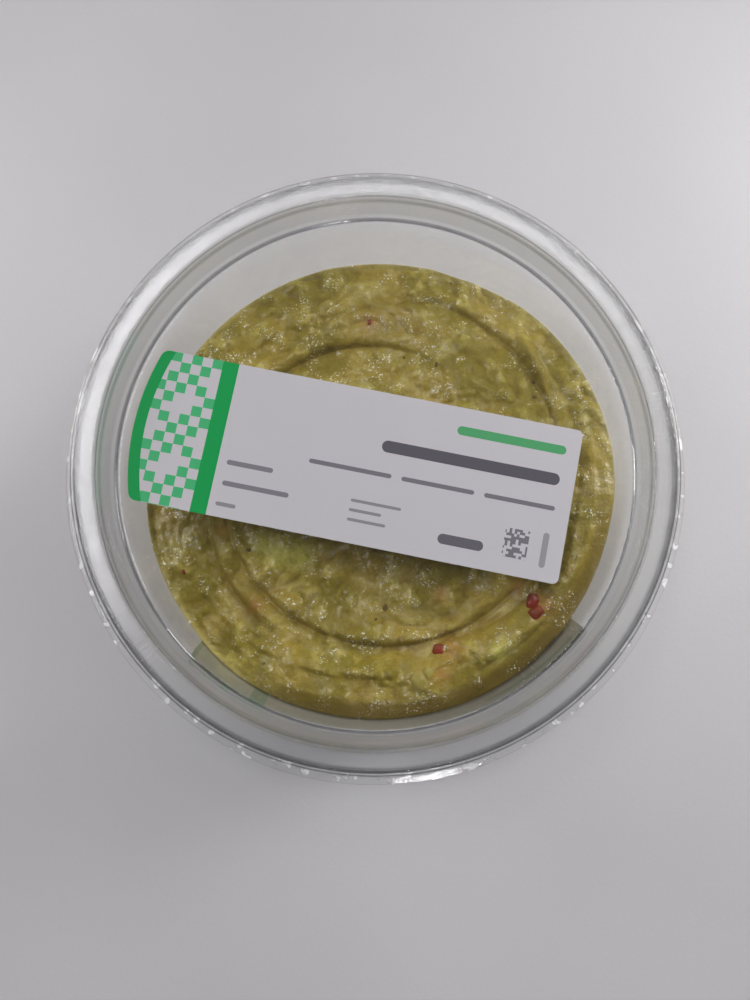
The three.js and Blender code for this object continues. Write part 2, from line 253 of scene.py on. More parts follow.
tub_plastic = clear_sheet("clear_tub_sheet", (0.975, 0.98, 0.975), 0.02, 0.0, 56.75)
lid_plastic = clear_sheet("clear_lid_sheet", (0.985, 0.985, 0.985), 0.02, 50.5, 70.0, LID_FOLD_SHADES)

# %% [markdown]
# ## Turning a sheet
# Tub and lid are round, so each is one profile turned about the axis, as a lathe does it. Every rounded
# corner becomes a short curve, and a helper point close to each end of a long straight keeps the flats flat
# in the light: smooth shading would otherwise bend the whole panel.

# %% Profiles and turning
SHEET_SIDES = 288
CURVE_STEPS = 6
HELPER_DISTANCE = 0.12
LONG_STRAIGHT = 0.5


def rounded_line(corners):
    """Corners (radius, height, rounding) in millimetres as points, each rounded corner as a curve."""
    line = []
    for index, (radius, height, rounding) in enumerate(corners):
        corner = np.array((radius, height), dtype=float)
        if rounding == 0:
            line.append(corner)
            continue
        before = np.array(corners[index - 1][:2]) - corner
        after = np.array(corners[index + 1][:2]) - corner
        start = corner + before / np.linalg.norm(before) * rounding
        end = corner + after / np.linalg.norm(after) * rounding
        for step in range(CURVE_STEPS + 1):
            t = step / CURVE_STEPS
            line.append((1 - t) ** 2 * start + 2 * t * (1 - t) * corner + t * t * end)
    return line


def with_helpers(line):
    """Adds a point just inside each end of every long straight."""
    full = [line[0]]
    for start, end in zip(line, line[1:]):
        length = np.linalg.norm(end - start)
        if length > LONG_STRAIGHT:
            way = (end - start) / length * HELPER_DISTANCE
            full += [start + way, end - way]
        full.append(end)
    return np.array(full)


def turned_sheet(name, corners, shape=None):
    """A closed profile turned round the axis. Its first and last point lie on the axis."""
    line = with_helpers(rounded_line(corners))
    rows = line[1:-1]
    angles = np.arange(SHEET_SIDES) * 2 * math.pi / SHEET_SIDES
    radius = np.repeat(rows[:, :1], SHEET_SIDES, axis=1)
    height = np.repeat(rows[:, 1:], SHEET_SIDES, axis=1)
    if shape is not None:
        radius, height = shape(radius, height, angles)
    rings = np.stack([radius * np.cos(angles), radius * np.sin(angles), height], axis=2).reshape(-1, 3)
    points = np.vstack([[0, 0, line[0][1]], rings, [0, 0, line[-1][1]]])
    last = len(points) - 1
    faces = []
    for side in range(SHEET_SIDES):
        beside = (side + 1) % SHEET_SIDES
        faces.append((0, 1 + beside, 1 + side))
        for row in range(len(rows) - 1):
            here = 1 + row * SHEET_SIDES
            above = here + SHEET_SIDES
            faces.append((here + side, here + beside, above + beside, above + side))
        top = 1 + (len(rows) - 1) * SHEET_SIDES
        faces.append((top + side, top + beside, last))
    return mesh_piece(name, points, faces, sharp_above=50)


# %% [markdown]
# ## The tub
# It stands on a foot ring, with the middle of its base raised. The wall leans out by 8 degrees to a ledge,
# and a short neck above that ends in a flange, which the lid grips. These are the part's own sizes, in
# millimetres.

# %% Tub
TUB_SHEET = 0.6
TUB_BASE_RADIUS = 46.1
TUB_DRAFT = 0.145
FOOT_INNER_RADIUS = 38.0
FOOT_RISE = 0.9
LEDGE_HEIGHT = 36.5
LEDGE_STEP = 0.5
NECK_RADIUS = 53.35
FLANGE_HEIGHT = 42.7
FLANGE_RADIUS = 57.4
FLANGE_DROP = 1.9
FLANGE_FLARE = 0.1


def wall_radius(height):
    """Inside radius of the tub's wall at a height."""
    return TUB_BASE_RADIUS + (height - TUB_SHEET) * TUB_DRAFT


ledge_inside = wall_radius(LEDGE_HEIGHT)
ledge_top = LEDGE_HEIGHT + LEDGE_STEP
neck_foot = ledge_inside + LEDGE_STEP
flange_under = FLANGE_HEIGHT - TUB_SHEET
lip_inside = FLANGE_RADIUS - TUB_SHEET
lip_foot = FLANGE_HEIGHT - FLANGE_DROP
TUB_CORNERS = [
    (0, FOOT_RISE, 0),
    (FOOT_INNER_RADIUS - FOOT_RISE, FOOT_RISE, 0.4),
    (FOOT_INNER_RADIUS, 0, 0),
    (wall_radius(0) + TUB_SHEET, 0, 1.4),
    (ledge_inside + TUB_SHEET, LEDGE_HEIGHT, 0.2),
    (neck_foot + TUB_SHEET, ledge_top, 0.2),
    (NECK_RADIUS + TUB_SHEET, flange_under, 0.4),
    (lip_inside, flange_under, 0.3),
    (lip_inside, lip_foot, 0),
    (FLANGE_RADIUS + FLANGE_FLARE, lip_foot, 0),
    (FLANGE_RADIUS, FLANGE_HEIGHT, 0.6),
    (NECK_RADIUS, FLANGE_HEIGHT, 0.4),
    (neck_foot, ledge_top, 0.2),
    (ledge_inside, LEDGE_HEIGHT, 0.2),
    (wall_radius(TUB_SHEET), TUB_SHEET, 1.0),
    (FOOT_INNER_RADIUS + TUB_SHEET, TUB_SHEET, 0.2),
    (FOOT_INNER_RADIUS - TUB_SHEET, FOOT_RISE + TUB_SHEET, 0.4),
    (0, FOOT_RISE + TUB_SHEET, 0),
]
tub_shell = turned_sheet("tub_shell", TUB_CORNERS)
tub_shell.data.materials.append(tub_plastic)
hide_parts("tub")
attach(tub_shell, "root")

# %% [markdown]
# ## The lid
# A flat panel lies recessed in a sloping plug wall, and a flat rim leads over to a skirt with a narrow hem.
# The skirt has fine flutes, which a machine presses in so that fingers can grip it. Each one catches a
# spark of light, which is why the edge glitters.

# %% Lid
LID_SHEET = 0.5
PANEL_HEIGHT = 37.2
PANEL_RADIUS = 51.1
RIM_HEIGHT = 43.7
RIM_INNER_RADIUS = 52.8
RIM_OUTER_RADIUS = 57.8
SKIRT_RADIUS = 58.8
HEM_RADIUS = 60.4
HEM_HEIGHT = 38.7
FLUTE_COUNT = 60
FLUTE_DEPTH = 0.30
# how far below the rim the flutes begin and are whole
FLUTE_START = (1.2, 2.6)
HEM_WAVE = 0.35
LID_CORNERS = [
    (0, PANEL_HEIGHT - LID_SHEET, 0),
    (PANEL_RADIUS + LID_SHEET, PANEL_HEIGHT - LID_SHEET, 0.6),
    (RIM_INNER_RADIUS + LID_SHEET, RIM_HEIGHT - LID_SHEET, 0.4),
    (RIM_OUTER_RADIUS - LID_SHEET, RIM_HEIGHT - LID_SHEET, 0.6),
    (SKIRT_RADIUS - LID_SHEET, HEM_HEIGHT - LID_SHEET, 0.2),
    (HEM_RADIUS, HEM_HEIGHT - LID_SHEET, 0.15),
    (HEM_RADIUS, HEM_HEIGHT, 0.15),
    (SKIRT_RADIUS, HEM_HEIGHT + LID_SHEET, 0.4),
    (RIM_OUTER_RADIUS, RIM_HEIGHT, 1.0),
    (RIM_INNER_RADIUS, RIM_HEIGHT, 0.6),
    (PANEL_RADIUS, PANEL_HEIGHT, 0.6),
    (0, PANEL_HEIGHT, 0),
]


def fluted(radius, height, angles):
    """Flutes in the skirt below the rim, and a slight wave in the hem's edge."""
    outside = smooth_between(radius, RIM_OUTER_RADIUS - FLUTE_START[0], RIM_OUTER_RADIUS)
    skirt = smooth_between(RIM_HEIGHT - height, *FLUTE_START) * outside
    hem = smooth_between(radius, SKIRT_RADIUS + 0.3, HEM_RADIUS)
    flutes = 0.5 + 0.5 * np.cos(FLUTE_COUNT * angles)
    wave = 0.5 + 0.3 * np.sin(5 * angles + 0.4) + 0.2 * np.sin(11 * angles)
    return radius - skirt * (1 - hem) * FLUTE_DEPTH * flutes - hem * HEM_WAVE * wave, height


lid_shell = turned_sheet("lid_shell", LID_CORNERS, fluted)
lid_shell.data.materials.append(lid_plastic)
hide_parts("lid")
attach(lid_shell, "root")

# %% [markdown]
# ## The lie of the dip
# The dip is a height field: for every angle and radius it has one height. It leans up towards the front
# right, and one spiral stroke, as a spatula leaves it, runs one and a half turns out to the wall. The
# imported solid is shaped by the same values, so the finer piece lies where the solid does. The finer piece
# also gets what a spatula really leaves: a thin sharp crease with the paste standing higher on one side. In
# front the middle stands above the crease, behind the outer coil does.

# %% Lean, stroke and shoulder
DIP_LEVEL = 25.6
DIP_LEAN = 4.3
DIP_HIGH_SIDE = -65.0
DIP_EDGE_RADIUS = 49.5
SWIRL_ANGLE = 55.0
SWIRL_RADIUS = 27.7
SWIRL_PITCH = 13.3
SWIRL_TURNS = 1.5
SECOND_TURN_SHARE = 0.08
STROKE_FADE = 0.13
CREASE_DEPTH = 1.0
CREASE_WIDTH = 0.5
VALLEY_DEPTH = 0.8
VALLEY_WIDTH = 4.2
STEP_HEIGHT = 1.5
STEP_SHARPNESS = 1.1
STEP_REACH = 4.5
LIP_HEIGHT = 0.55
LIP_PLACE = 1.9
LIP_WIDTH = 1.5
SHOULDER_DROP = 3.6
SHOULDER_WIDTH = 4.4
SHOULDER_RISE = 0.9
SHOULDER_SIDE = -62.0
SHOULDER_FADE = (0.35, 0.8)
SHOULDER_CREST_WIDTH = 4.0
EDGE_DROP = 2.1
EDGE_DROP_SIDE = 143.0
EDGE_DROP_FADE = (-0.25, 0.25)
EDGE_DROP_START = 35.0


def stroke_place(radius, degrees):
    """How far along the stroke a place lies, in turns, and how far from its line, in millimetres."""
    around = np.mod(degrees - SWIRL_ANGLE, 360) / 360
    outward = (radius - SWIRL_RADIUS) / SWIRL_PITCH - around
    turn = np.maximum(0, np.round(outward))
    return turn + around, (outward - turn) * SWIRL_PITCH


def stroke_fade(along):
    """The stroke starts and ends softly, and its second turn is much fainter."""
    start = smooth_between(along, 0, STROKE_FADE)
    end = 1 - smooth_between(along, SWIRL_TURNS - STROKE_FADE, SWIRL_TURNS)
    second = smooth_between(along, 1 - STROKE_FADE, 1 + STROKE_FADE)
    return start * end * (1 - (1 - SECOND_TURN_SHARE) * second)


def section(distance, side, depth, width, step):
    """The cut through a crease. Side is 1 where the inner paste stands higher, -1 where the outer does."""
    crease = depth * np.exp(-((np.abs(distance) / width) ** 1.4))
    rise = step * side * np.tanh(distance / STEP_SHARPNESS) * bell(distance, STEP_REACH) / 2
    lip = LIP_HEIGHT * step / STEP_HEIGHT * bell(distance + side * LIP_PLACE, LIP_WIDTH) * np.abs(side)
    return lip - crease - rise


def stroke_relief(radius, degrees):
    along, distance = stroke_place(radius, degrees)
    fade = stroke_fade(along)
    side = np.clip(-1.4 * np.sin(np.radians(degrees + 4)), -1, 1)
    valley = VALLEY_DEPTH * bell(distance, VALLEY_WIDTH)
    return fade * (section(distance, side, CREASE_DEPTH, CREASE_WIDTH, STEP_HEIGHT) - valley)


def shoulder_relief(radius, degrees):
    """A rounded shoulder at the front right, and the steep dark flank between it and the wall."""
    facing = smooth_between(np.cos(np.radians(degrees - SHOULDER_SIDE)), *SHOULDER_FADE)
    inside = np.clip((radius - (DIP_EDGE_RADIUS - SHOULDER_WIDTH)) / SHOULDER_WIDTH, 0, 1.2)
    drop = SHOULDER_DROP * (1 - np.sqrt(np.clip(1 - (inside / 1.2) ** 2, 0, 1)))
    rise = SHOULDER_RISE * bell(radius - (DIP_EDGE_RADIUS - SHOULDER_WIDTH - 1.0), SHOULDER_CREST_WIDTH)
    return facing * (rise - drop)


def edge_drop(radius, degrees):
    """At the back and left the dip has sunk towards the wall."""
    facing = smooth_between(np.cos(np.radians(degrees - EDGE_DROP_SIDE)), *EDGE_DROP_FADE)
    return EDGE_DROP * facing * smooth_between(radius, EDGE_DROP_START, DIP_EDGE_RADIUS)


# %% [markdown]
# ## Lumps and folds
# Mashed avocado is never even. The broad lumps are the solid's own. On top come folds, where one coil was
# laid against the next: each is a short arc with a depth, a width and a step, positive where its inner side
# stands higher. They are named here with the angles and radii at which they lie. Pieces of avocado that the
# masher missed swell under the top as small domes.

# %% Lumps and folds
LUMP_COUNT = 150
LUMP_HEIGHT = 0.45
LUMP_SEED = 20117
LUMP_NARROW = 2.2
LUMP_WIDE = 5.5


def seeded_draws(seed):
    """The same row of numbers between 0 and 1 each time."""
    state = seed
    while True:
        state = state * 16807 % (2 ** 31 - 1)
        yield state / (2 ** 31 - 1)


def broad_lumps():
    draw = seeded_draws(LUMP_SEED)
    lumps = []
    for _ in range(LUMP_COUNT):
        x = (next(draw) * 2 - 1) * DIP_EDGE_RADIUS
        y = (next(draw) * 2 - 1) * DIP_EDGE_RADIUS
        width = LUMP_NARROW + (LUMP_WIDE - LUMP_NARROW) * next(draw)
        lumps.append((x, y, width, LUMP_HEIGHT * (2 * next(draw) - 1)))
    return lumps


LUMPS = broad_lumps()

# name: (first angle, last angle, first radius, last radius, depth, width, step)
FOLDS = {
    "ridge by the stroke": (288, 334, 36.6, 42.0, 0.7, 0.6, -0.9),
    "back fold": (70, 116, 41.0, 35.5, 0.6, 0.6, 1.0),
    "short back crease": (94, 108, 44.0, 38.4, 0.6, 0.5, 0.3),
    "left fold": (196, 238, 37.2, 39.2, 1.0, 0.7, 1.0),
    "right step": (16, 48, 39.8, 46.8, 0.5, 0.7, 1.3),
    "right wall fold": (-14, 20, 42.0, 43.6, 0.6, 0.6, 1.0),
    "front wall fold": (-66, -24, 45.2, 46.2, 0.5, 0.7, 0.6),
    "front fold": (246, 276, 43.0, 42.0, 0.5, 0.8, 0.5),
    "left top fold": (118, 160, 37.5, 40.5, 0.5, 0.8, -0.7),
}
# angle, radius, height, width of the domes
DOMES = (
    (-78.4, 43.2, 1.1, 2.0), (-75.5, 44.6, 0.7, 1.4), (77.5, 40.0, 0.7, 1.6), (106, 39.4, 1.2, 2.4),
    (74, 45.6, 0.6, 1.3), (152, 41.5, 0.7, 1.8), (-152, 43.5, 0.8, 2.0), (-112, 41.2, 0.8, 1.9),
    (-93, 30.5, 0.6, 1.5), (-138, 24.2, 0.7, 2.6), (-131, 42.0, 0.6, 1.8), (-120, 38.0, 0.5, 1.6),
    (-58, 41.5, 0.6, 1.8), (118, 42.5, 0.8, 2.2), (96, 43.5, 0.6, 1.6), (-8, 38.5, 0.5, 1.6),
    (4, 45.5, 0.5, 1.4), (-30, 42.5, 0.5, 1.5), (-147, 37.0, 0.5, 1.5), (-100, 44.5, 0.6, 1.7),
)


def fold_relief(radius, degrees):
    """The height that the folds add, and how strongly a place lies in one."""
    relief = np.zeros_like(radius)
    depth_share = np.zeros_like(radius)
    for first, last, near, far, depth, width, step in FOLDS.values():
        middle = (first + last) / 2
        share = (np.mod(degrees - middle + 180, 360) - 180) / (last - first) + 0.5
        fade = smooth_between(share, -0.06, 0.2) * (1 - smooth_between(share, 0.8, 1.06))
        distance = radius - (near + (far - near) * share)
        relief += fade * section(distance, math.copysign(1, step), depth, width, abs(step))
        depth_share = np.maximum(depth_share, fade * min(1, depth) * bell(distance, width * 1.3))
    return relief, depth_share


def dip_height(radius, degrees):
    radius, degrees = np.broadcast_arrays(np.array(radius, dtype=float), np.array(degrees, dtype=float))
    x = radius * np.cos(np.radians(degrees))
    y = radius * np.sin(np.radians(degrees))
    height = DIP_LEVEL + DIP_LEAN * radius / DIP_EDGE_RADIUS * np.cos(np.radians(degrees - DIP_HIGH_SIDE))
    for lump_x, lump_y, width, tall in LUMPS:
        height = height + tall * bell(np.hypot(x - lump_x, y - lump_y), width)
    for angle, out, tall, width in DOMES:
        dome_x = out * math.cos(math.radians(angle))
        dome_y = out * math.sin(math.radians(angle))
        height = height + tall * bell(np.hypot(x - dome_x, y - dome_y), width)
    height = height + stroke_relief(radius, degrees) + fold_relief(radius, degrees)[0]
    return height + shoulder_relief(radius, degrees) - edge_drop(radius, degrees)


print("dip stands", dip_height(0, 0).round(2), "mm high in the middle")

# %% [markdown]
# ## The dip's skin
# A ring-and-spoke net carries the height field, with its rings closer together towards the wall. Folded
# noise, where only the size of the swing counts, gives rounded lumps with narrow creases between them, as
# mash has. Noise stretched round the axis gives brush marks. At the wall the dip creeps up as a thin smear.
# Its side reaches just into the sheet, so that no air shows between dip and tub.

# %% Mash relief
MASH_SWIRL = (9.0, 2.2)
SWIRL_SEED = 7
# size of the lumps and how tall they are, in millimetres
MASH_LUMPS = ((6.5, 2.1), (3.0, 1.2))
MASH_CRUMBS = ((1.5, 0.30), (0.7, 0.14))
SMOOTH_SPOT = (2.0, 17.0, 15.0)
MASH_PATCH = 13.0
BRUSH_WIDTH = 1.9
BRUSH_DEPTH = 0.30


# Blender starts this noise anew each time it opens, so without a seed no two runs would give the same mash
noise.seed_set(SWIRL_SEED)


def mash_relief(x, y, radius, degrees):
    spot = Vector((x, y, 4.0))
    spot += noise.noise_vector(spot / MASH_SWIRL[0]) * MASH_SWIRL[1]
    rough = 0.45 + 0.55 * float(smooth_between(noise.noise(Vector((x, y, 9)) / MASH_PATCH), -0.25, 0.3))
    smooth_x, smooth_y, smooth_width = SMOOTH_SPOT
    rough *= 1 - 0.6 * float(bell(math.hypot(x - smooth_x, y - smooth_y), smooth_width))
    total = 0.0
    for size, tall in MASH_LUMPS:
        total += tall * (abs(noise.noise(spot / size)) - 0.2)
    for size, tall in MASH_CRUMBS:
        total += tall * noise.noise(spot / size)
    way = math.radians(degrees)
    brush = noise.noise(Vector((radius / BRUSH_WIDTH, 1.6 * math.cos(way), 1.6 * math.sin(way))))
    return total * rough + brush * BRUSH_DEPTH


# %% Dip mesh
DIP_RINGS = 165
DIP_SPOKES = 540
RING_CROWDING = 1.25
BITE = 0.12
SMEAR_HEIGHT = 0.5
SMEAR_WIDTH = 0.7
SIDE_ROWS = 26
# the steep flank is smoother than the top: how far from the wall it fades out, and by how much it is
# smoothed
FLANK_BAND = (2, 5)
FLANK_SMOOTHING = 0.65


def edge_radius(degrees):
    radius = np.full_like(degrees, DIP_EDGE_RADIUS)
    for _ in range(5):
        radius = wall_radius(dip_height(radius, degrees)) + BITE
    return radius


spokes = np.arange(DIP_SPOKES) * 360 / DIP_SPOKES
edges = edge_radius(spokes)
shares = 1 - (1 - np.arange(1, DIP_RINGS + 1) / DIP_RINGS) ** RING_CROWDING
ring_radius = shares[:, None] * edges[None, :]
ring_degrees = np.broadcast_to(spokes, ring_radius.shape)
ring_height = dip_height(ring_radius, ring_degrees)
mash = np.zeros_like(ring_radius)
for ring in range(DIP_RINGS):
    for spoke in range(DIP_SPOKES):
        r = ring_radius[ring, spoke]
        way = math.radians(spokes[spoke])
        mash[ring, spoke] = mash_relief(r * math.cos(way), r * math.sin(way), r, spokes[spoke])
to_wall = edges[None, :] - ring_radius
facing_front_right = smooth_between(np.cos(np.radians(ring_degrees - SHOULDER_SIDE)), *SHOULDER_FADE)
flank = facing_front_right * (1 - smooth_between(to_wall, *FLANK_BAND))
mash = mash * (1 - FLANK_SMOOTHING * flank)
smear = SMEAR_HEIGHT * (0.25 + 0.75 * smooth_between(np.cos(np.radians(spokes - 135)), -0.5, 0.5))
smear = smear * (1 + 0.5 * np.sin(np.radians(spokes * 7)) * np.sin(np.radians(spokes * 3 + 40)))
ring_height = ring_height + mash * smooth_between(to_wall, -0.4, 1.2)
ring_height = ring_height + smear[None, :] * bell(to_wall, SMEAR_WIDTH)
ring_radius[-1] = wall_radius(ring_height[-1]) + BITE
print("dip's edge is", ring_height[-1].min().round(1), "to", ring_height[-1].max().round(1), "mm high")


def dip_rows():
    """Rings of the top, then down the wall to the base, and in underneath to its raised middle."""
    rows = [(ring_radius[ring], ring_height[ring]) for ring in range(DIP_RINGS)]
    foot_height = TUB_SHEET + 1.0
    for row in range(1, SIDE_ROWS + 1):
        height = ring_height[-1] + (foot_height - ring_height[-1]) * row / SIDE_ROWS
        rows.append((wall_radius(height) + BITE, height))
    floor = TUB_SHEET - BITE
    underside = ((TUB_BASE_RADIUS - 0.25, floor + 0.25), (TUB_BASE_RADIUS - 1.1, floor),
                 (FOOT_INNER_RADIUS + 1.0, floor), (FOOT_INNER_RADIUS - 0.9, floor + FOOT_RISE))
    for radius, height in underside:
        rows.append((np.full(DIP_SPOKES, radius), np.full(DIP_SPOKES, height)))
    return rows


def dip_mesh():
    rows = dip_rows()
    way = np.radians(spokes)
    points = [(0.0, 0.0, float(ring_height[0].mean()))]
    for radius, height in rows:
        points += list(zip(radius * np.cos(way), radius * np.sin(way), height))
    points.append((0.0, 0.0, TUB_SHEET - BITE + FOOT_RISE))
    last = len(points) - 1
    faces = []
    for spoke in range(DIP_SPOKES):
        beside = (spoke + 1) % DIP_SPOKES
        faces.append((0, 1 + spoke, 1 + beside))
        for row in range(len(rows) - 1):
            here = 1 + row * DIP_SPOKES
            out = here + DIP_SPOKES
            faces.append((here + spoke, out + spoke, out + beside, here + beside))
        end = 1 + (len(rows) - 1) * DIP_SPOKES
        faces.append((end + spoke, last, end + beside))
    return mesh_piece("dip", points, faces)


dip = dip_mesh()

# %% [markdown]
# ## Where the dip changes colour
# In the folds the dip is painted darker brown, as shade, and so is its steep flank at the front right. On
# the smear at the wall it is paler, and here and there a patch of plain lime-green avocado or a pink tomato
# stain shows. We store these as numbers on the points, because the material can then read them and they
# move with the mesh, whatever view it is seen from.

# %% Stains and painted shade on the points
# place of each stain: angle, radius, size in millimetres
LIME_PATCHES = ((-140, 25.5, 3.6), (-134, 23.0, 3.0), (-148, 27.5, 2.6), (101, 17, 3), (-56, 44, 1.6))
TOMATO_STAINS = ((-132, 37.0, 1.6), (-160, 34.5, 1.3), (-39, 37.5, 1.4), (-72, 43.0, 1.6),
                 (92, 34.5, 1.8), (-67, 39.2, 2.2), (-39, 43.5, 2.6), (-62, 28.5, 1.6))


def stain(points, places):
    amount = np.zeros(len(points))
    for degrees, radius, size in places:
        x = radius * math.cos(math.radians(degrees)) * MM
        y = radius * math.sin(math.radians(degrees)) * MM
        amount = np.maximum(amount, bell(np.hypot(points[:, 0] - x, points[:, 1] - y), size * MM))
    return amount


def paint(piece, name, values):
    layer = piece.data.attributes.new(name, "FLOAT", "POINT")
    layer.data.foreach_set("value", np.asarray(values, dtype=np.float32))


def points_of(piece):
    flat = np.empty(len(piece.data.vertices) * 3)
    piece.data.vertices.foreach_get("co", flat)
    return flat.reshape(-1, 3)


dip_points = points_of(dip)
reach = np.hypot(dip_points[:, 0], dip_points[:, 1]) / MM
turn_angle = np.degrees(np.arctan2(dip_points[:, 1], dip_points[:, 0]))
is_top = dip_points[:, 2] / MM > dip_height(reach, turn_angle) - 2.5
along_stroke, off_stroke = stroke_place(reach, turn_angle)
crease = fold_relief(reach, turn_angle)[1] + 0.9 * stroke_fade(along_stroke) * bell(off_stroke, 0.8)
facing_shoulder = smooth_between(np.cos(np.radians(turn_angle - SHOULDER_SIDE)), *SHOULDER_FADE)
# painted shade: the steep flank at the front right, marked so that it can be painted dark
steep = facing_shoulder * smooth_between(reach - wall_radius(dip_points[:, 2] / MM), -4.6, -2.6)
swell = np.zeros(len(dip_points))
swell[1:1 + mash.size] = mash.reshape(-1)
near_wall = bell(wall_radius(dip_points[:, 2] / MM) - reach, 0.8)
# painted shade: the folds are marked so that they can be painted darker brown
paint(dip, "crease", np.clip(crease, 0, 1) * is_top)
paint(dip, "smear", near_wall * is_top * (1 - facing_shoulder))
paint(dip, "flank", steep * is_top)
paint(dip, "swell", np.clip(swell + 0.5, 0, 1))
paint(dip, "lime", stain(dip_points, LIME_PATCHES))
paint(dip, "pink", stain(dip_points, TOMATO_STAINS))

# %% [markdown]
# ## Guacamole
# Olive green at heart, with yellow-green, khaki and brown drifting through it: a colour that is easily made
# too green, so the base is a warm khaki. It is wet, so a clear coat lies over it, stronger where it is
# wettest. Lamps mirrored in small bumps would need very many rays, so the many tiny sparks of a wet mash
# are painted as highlights: pale points in clusters, only where the paste swells. The folds and the steep
# flank at the front right are painted darker, as shade.

# %% Guacamole material
KHAKI = (0.37, 0.275, 0.045, 1.0)
OLIVE = (0.265, 0.21, 0.028, 1.0)
YELLOW_GREEN = (0.50, 0.41, 0.08, 1.0)
BROWN = (0.18, 0.12, 0.018, 1.0)
# painted shade for the steep flank at the front right
FLANK_SHADE = (0.17, 0.115, 0.02, 1.0)
PALE_FILM = (0.55, 0.47, 0.17, 1.0)
LIME = (0.66, 0.62, 0.13, 1.0)
PINK = (0.45, 0.19, 0.05, 1.0)
FLECK = (0.10, 0.085, 0.02, 1.0)
# painted highlights: the colour of the small sparks on the wet paste
SPARK_PAINT = (0.92, 0.89, 0.74, 1.0)


# how fine each pattern of the paste is, in waves per metre
DRIFT_SCALE = 70.0
BLOTCH_SCALE = 240.0
LUMP_SCALE = 750.0
GRAIN_SCALE = 1100.0
CLUSTER_SCALE = 190.0
SPARK_PAINT_SCALE = 1900.0
FLECK_SCALE = 420.0
LUMP_RELIEF = 0.0005


def attribute(tree, name):
    return add(tree, "Attribute", {}, attribute_name=name).outputs["Fac"]


def tinted(tree, colour, name, share, stain_and_shade_colour):
    """Mixes in a colour where the points were painted with the number of that name: a stain's own colour for
    the stains, painted shade for the folds and the flank.
    """
    return colour_mix(tree, times(tree, attribute(tree, name), share), colour, stain_and_shade_colour)


def guacamole_finish():
    material, tree, skin, output = new_material("guacamole_mash")
    place = add(tree, "TexCoord", {}).outputs["Object"]
    drift = noise_pattern(tree, place, DRIFT_SCALE, 3.0)
    blotch = noise_pattern(tree, place, BLOTCH_SCALE, 4.0, 0.65)
    lumps = noise_pattern(tree, place, LUMP_SCALE, 3.0, 0.65)
    swell = attribute(tree, "swell")
    colour = colour_mix(tree, soft_step(tree, drift, 0.40, 0.60), OLIVE, KHAKI)
    pale = times(tree, soft_step(tree, blotch, 0.46, 0.64), soft_step(tree, swell, 0.3, 0.7))
    colour = colour_mix(tree, times(tree, pale, 0.75), colour, YELLOW_GREEN)
    dark = times(tree, soft_step(tree, blotch, 0.52, 0.34), soft_step(tree, swell, 0.6, 0.25))
    colour = colour_mix(tree, times(tree, dark, 0.6), colour, BROWN)
    # painted shade: darker brown in the folds
    colour = tinted(tree, colour, "crease", 0.45, BROWN)
    colour = tinted(tree, colour, "smear", 0.6, PALE_FILM)
    colour = tinted(tree, colour, "lime", 0.85, LIME)
    colour = tinted(tree, colour, "pink", 0.5, PINK)
    # painted shade: the steep flank at the front right is darkened
    colour = tinted(tree, colour, "flank", 0.8, FLANK_SHADE)
    cells = add(tree, "TexVoronoi", {"Vector": place, "Scale": FLECK_SCALE, "Randomness": 1.0})
    flecks = soft_step(tree, cells.outputs["Distance"], 0.16, 0.08)
    flecks = times(tree, flecks, soft_step(tree, blotch, 0.52, 0.6))
    colour = colour_mix(tree, times(tree, flecks, 0.5), colour, FLECK)
    fine = noise_pattern(tree, place, GRAIN_SCALE, 3.0, 0.75)
    grain = times(tree, soft_step(tree, fine, 0.50, 0.36), 0.35)
    colour = colour_mix(tree, grain, colour, BROWN)
    # painted highlights: pale sparks in clusters on the swells, in place of lamps mirrored in the wet paste
    cluster = soft_step(tree, noise_pattern(tree, place, CLUSTER_SCALE, 3.0), 0.47, 0.58)
    on_ridge = soft_step(tree, swell, 0.36, 0.56)
    points = soft_step(tree, noise_pattern(tree, place, SPARK_PAINT_SCALE, 2.0, 0.7), 0.58, 0.67)
    painted_sparks = times(tree, points, times(tree, cluster, on_ridge))
    colour = colour_mix(tree, painted_sparks, colour, SPARK_PAINT)
    wet = soft_step(tree, maths(tree, "MULTIPLY_ADD", drift, 0.5, blotch), 0.66, 0.86)
    rough = bump(tree, lumps, LUMP_RELIEF, 0.7)
    put(tree, skin, {
        "Base Color": colour,
        "Roughness": maths(tree, "MULTIPLY_ADD", blotch, 0.3, 0.32),
        "Coat Weight": maths(tree, "MULTIPLY_ADD", wet, 0.8, 0.2),
        "Normal": rough,
        "Coat Normal": rough,
    })
    skin.inputs["IOR"].default_value = 1.42
    skin.inputs["Specular IOR Level"].default_value = 0.05
    skin.inputs["Coat Roughness"].default_value = 0.12
    print("material", material.name)
    return material


dip.data.materials.append(guacamole_finish())
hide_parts("guacamole")
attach(dip, "root")

# %% [markdown]
# ## Bits in the dip
# Diced tomato, chunks of avocado that the masher missed, and flakes of herb lie half sunk in the top. Each
# kind is one piece made of many small meshes: a ball with few faces, squashed, cut crooked by noise, and
# set at the height of the dip at that place.

# %% Bits, one piece for each kind
import bmesh


